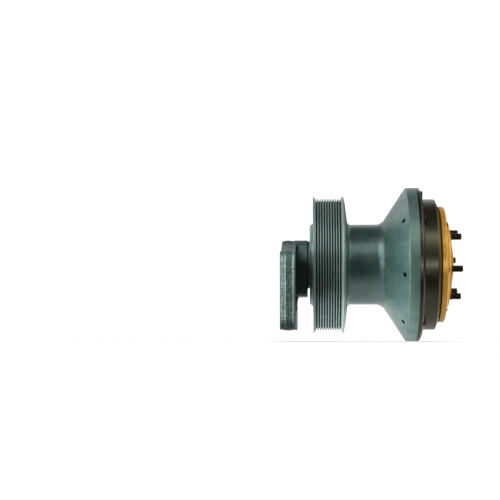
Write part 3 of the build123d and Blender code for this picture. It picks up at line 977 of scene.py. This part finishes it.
makeFanDisc(discSizes, markedScrewSizes)
makePilotCap(capSizes)
makeStuds(studSizes)
makeMarkedScrews(markedScrewSizes)
print("fan disc made")

# The disc spring, between its seat and the plate
springSizes = {
    "seatX": 190.0,
    "innerR": 44.5,
    "outerR": 76.0,
    "thickness": 3.2,
    "depth": 8.0,
    "edge": 0.6,
    "travel": 2.0,
    "steps": 160,
}


def makeClutchSpring(s):
    plateX = s["seatX"] + s["depth"]
    bm = turned([
        (s["seatX"], s["innerR"], s["edge"]),
        (s["seatX"] + s["thickness"], s["innerR"], s["edge"]),
        (plateX, s["outerR"], s["edge"]),
        (plateX - s["thickness"], s["outerR"], s["edge"]),
    ], s["steps"])
    piece = finished("clutchSpring", bm, [springSteel])
    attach(piece, "fan_disc")
    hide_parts("clutch_spring")
    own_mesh(piece)


makeClutchSpring(springSizes)
print("spring made")

# The other pieces inside keep their CAD shapes and get their finishes
innerFinish = [
    (groundSteel, [
        "front_bearing_inner_ring", "front_bearing_outer_ring", "rear_bearing_inner_ring",
        "rear_bearing_outer_ring", "hub_bearing_inner_ring", "hub_bearing_outer_ring",
        "spindle", "spindle_nut", "hub_nut", "pressure_plate", "drive_pins", "spring_retainer",
        "release_piston",
    ]),
    (sealRubber, ["grease_seal", "air_seal"]),
    (frictionLining, ["friction_lining"]),
]
for finish, names in innerFinish:
    for name in names:
        for holder in nodes[name].material_slots:
            holder.material = finish
print("inner pieces finished")

# Studio: pale floor with white beyond it, and soft lamps all round. Its sizes are metres, but
# floorZ, lens and sensor are millimetres.
studio = {
    "target": (0.12, 0, 0),     # the lamps aim at the object's middle
    "floorZ": -106.8,
    "floorSize": 4.4,
    "paperFibre": 300.0,        # fibre clumps to a metre
    "floorFade": (0.75, 1.5),
    "floorShades": [(0.3, "f1f2f2"), (0.7, "f6f7f7")],
    "floorOwnLight": 0.55,
    # light that the floor throws back at the object, from bounceReach in front of it to as far behind
    "bounceReach": 0.3,
    "floorBounce": [(0.20, "202020"), (0.36, "989898"), (0.55, "a6a6a6"), (1.0, "f4f4f4")],
    "bounceStrength": 1.25,
    "ambient": 0.03,
    "whiteBeyond": 1.1,
    "cameraPlace": (0.045, -1.868, -0.0946),
    "cameraTarget": (-0.045, 0.0, 0.0209),
    "lens": 96.3,
    "sensor": 36,
    # azimuth 0 is the camera's side, 90 is the fan's end; elevation is above the horizontal
    "lamps": {
        "frontLeft": {
            "azimuth": 315, "elevation": 34, "distance": 1.3, "size": (0.7, 0.6), "power": 3.9},
        "front": {"azimuth": 0, "elevation": 45, "distance": 1.3, "size": (0.9, 0.5), "power": 1.1},
        "frontRight": {
            "azimuth": 45, "elevation": 36, "distance": 1.3, "size": (0.7, 0.6), "power": 2.2},
        "drumStrip": {
            "azimuth": 0, "elevation": -3, "distance": 1.3, "size": (1.2, 0.08), "power": 2.4,
            "only": ("drumShell", "fanDisc", "pilotCap")},
        "bracketFront": {
            "azimuth": 312, "elevation": 14, "distance": 1.0, "size": (0.5, 0.4), "power": 9.0,
            "only": ("bracketCasting",)},
        "goldFill": {
            "azimuth": 50, "elevation": 4, "distance": 1.2, "size": (0.5, 0.5), "power": 2.5,
            "only": ("fanDisc", "pilotCap")},
        "lowLeft": {
            "azimuth": 300, "elevation": 2, "distance": 1.2, "size": (0.6, 0.25), "power": 3.5,
            "only": ("pulleyCasting",)},
        "underLeft": {
            "azimuth": 286, "elevation": -30, "distance": 1.2, "size": (1.1, 0.8), "power": 23.0,
            "only": ("pulleyCasting",), "throughFloor": True, "glints": False},
        "left": {
            "azimuth": 268, "elevation": 2, "distance": 1.3, "size": (0.7, 0.25), "power": 5.0,
            "only": ("pulleyCasting",)},
        "right": {"azimuth": 90, "elevation": 28, "distance": 1.3, "size": (0.7, 0.7), "power": 4.5},
        "back": {"azimuth": 180, "elevation": 30, "distance": 1.3, "size": (0.8, 0.8), "power": 1.3},
        "backLeft": {"azimuth": 225, "elevation": 28, "distance": 1.3, "size": (0.8, 0.8), "power": 1.4},
        "backRight": {
            "azimuth": 135, "elevation": 40, "distance": 1.3, "size": (0.8, 0.8), "power": 0.6},
        # whitens the floor, where the object throws its soft shadow
        "floorLamp": {
            "azimuth": 0, "elevation": 85, "distance": 1.7, "size": (1.2, 1.2), "power": 42,
            "only": ("floor",)},
    },
}


def makeFloor(s):
    target = Vector(s["target"])
    bm = bmesh.new()
    bmesh.ops.create_grid(
        bm, x_segments=1, y_segments=1, size=s["floorSize"] / 2,
        matrix=Matrix.Translation((target.x, 0, s["floorZ"] * mm)))
    material = bpy.data.materials.new("matt_paper")
    material.use_nodes = True
    tree = material.node_tree
    tree.nodes.clear()
    place = addNode(tree, "ShaderNodeTexCoord").outputs["Object"]
    parts = addNode(tree, "ShaderNodeSeparateXYZ", {"Vector": place})
    fibre = addNode(tree, "ShaderNodeTexNoise", {
        "Vector": place, "Scale": s["paperFibre"], "Detail": 2.0})
    shade = addNode(tree, "ShaderNodeValToRGB", {"Fac": fibre.outputs["Fac"]}, ramp=s["floorShades"])
    # some of the paper's brightness is its own, which keeps the shadow faint
    lit = addNode(tree, "ShaderNodeBsdfDiffuse", {"Color": shade.outputs["Color"]})
    own = addNode(tree, "ShaderNodeEmission", {"Color": shade.outputs["Color"]})
    paper = addNode(tree, "ShaderNodeMixShader", {
        0: s["floorOwnLight"], 1: lit.outputs[0], 2: own.outputs[0]})
    glow = addNode(tree, "ShaderNodeMapRange", {
        "Value": parts.outputs["Y"], "From Min": -s["bounceReach"], "From Max": s["bounceReach"],
        "To Min": 0.0, "To Max": 1.0})
    zones = addNode(tree, "ShaderNodeValToRGB", {"Fac": glow.outputs["Result"]}, ramp=s["floorBounce"])
    bounce = addNode(tree, "ShaderNodeEmission", {
        "Color": zones.outputs["Color"], "Strength": s["bounceStrength"]})
    seen = addNode(tree, "ShaderNodeLightPath").outputs["Is Camera Ray"]
    surface = addNode(tree, "ShaderNodeMixShader", {0: seen, 1: bounce.outputs[0], 2: paper.outputs[0]})
    centre = addNode(tree, "ShaderNodeVectorMath", {0: place, 1: target}, operation="SUBTRACT")
    away = addNode(tree, "ShaderNodeVectorMath", {0: centre.outputs[0]}, operation="LENGTH")
    fade = addNode(tree, "ShaderNodeMapRange", {
        "Value": away.outputs["Value"], "From Min": s["floorFade"][0], "From Max": s["floorFade"][1],
        "To Min": 0.0, "To Max": 1.0}, interpolation_type="SMOOTHSTEP")
    clear = addNode(tree, "ShaderNodeBsdfTransparent")
    faded = addNode(tree, "ShaderNodeMixShader", {
        0: fade.outputs["Result"], 1: surface.outputs[0], 2: clear.outputs[0]})
    addNode(tree, "ShaderNodeOutputMaterial", {"Surface": faded.outputs[0]})
    floor = finished("floor", bm, [material])
    return floor


def makeSky(s):
    # white where the camera sees it, and only a faint light on the object
    world = bpy.data.worlds.new("studio")
    bpy.context.scene.world = world
    world.use_nodes = True
    tree = world.node_tree
    tree.nodes.clear()
    seen = addNode(tree, "ShaderNodeLightPath").outputs["Is Camera Ray"]
    strength = addNode(tree, "ShaderNodeMix", {0: seen, 2: s["ambient"], 3: s["whiteBeyond"]})
    sky = addNode(tree, "ShaderNodeBackground", {
        "Color": (1, 1, 1, 1), "Strength": strength.outputs[0]})
    addNode(tree, "ShaderNodeOutputWorld", {"Surface": sky.outputs[0]})


def makeLamp(name, light, target, floor):
    turn, tilt = radians(light["azimuth"]), radians(light["elevation"])
    lamp = bpy.data.lights.new(name, "AREA")
    lamp.shape = "RECTANGLE"
    lamp.size, lamp.size_y = light["size"]
    lamp.energy = light["power"]
    lampObject = bpy.data.objects.new(name, lamp)
    lampObject.location = target + light["distance"] * Vector(
        (sin(turn) * cos(tilt), -cos(turn) * cos(tilt), sin(tilt)))
    aim = target - lampObject.location
    lampObject.rotation_euler = aim.to_track_quat("-Z", "Y").to_euler()
    lampObject.visible_camera = False
    lampObject.visible_glossy = light.get("glints", True)
    bpy.context.scene.collection.objects.link(lampObject)
    if "only" in light:
        # shines on these pieces alone
        receivers = bpy.data.collections.new(name + "Receivers")
        for piece in light["only"]:
            receivers.objects.link(bpy.data.objects[piece])
        lampObject.light_linking.receiver_collection = receivers
    if "throughFloor" in light:
        # shines up through the paper, as a lit table does
        blockers = bpy.data.collections.new(name + "Blockers")
        for piece in bpy.data.objects:
            if piece.type == "MESH" and piece != floor:
                blockers.objects.link(piece)
        lampObject.light_linking.blocker_collection = blockers


def makeCamera(s):
    camera = bpy.data.cameras.new("camera")
    camera.lens = s["lens"]
    camera.sensor_width = s["sensor"]
    cameraObject = bpy.data.objects.new("camera", camera)
    cameraObject.location = s["cameraPlace"]
    aim = Vector(s["cameraTarget"]) - cameraObject.location
    cameraObject.rotation_euler = aim.to_track_quat("-Z", "Y").to_euler()
    bpy.context.scene.collection.objects.link(cameraObject)
    bpy.context.scene.camera = cameraObject
    bpy.context.scene.view_settings.view_transform = "Standard"


studioFloor = makeFloor(studio)
makeSky(studio)
for lampName, lampLight in studio["lamps"].items():
    makeLamp(lampName, lampLight, Vector(studio["target"]), studioFloor)
makeCamera(studio)
print("studio made")
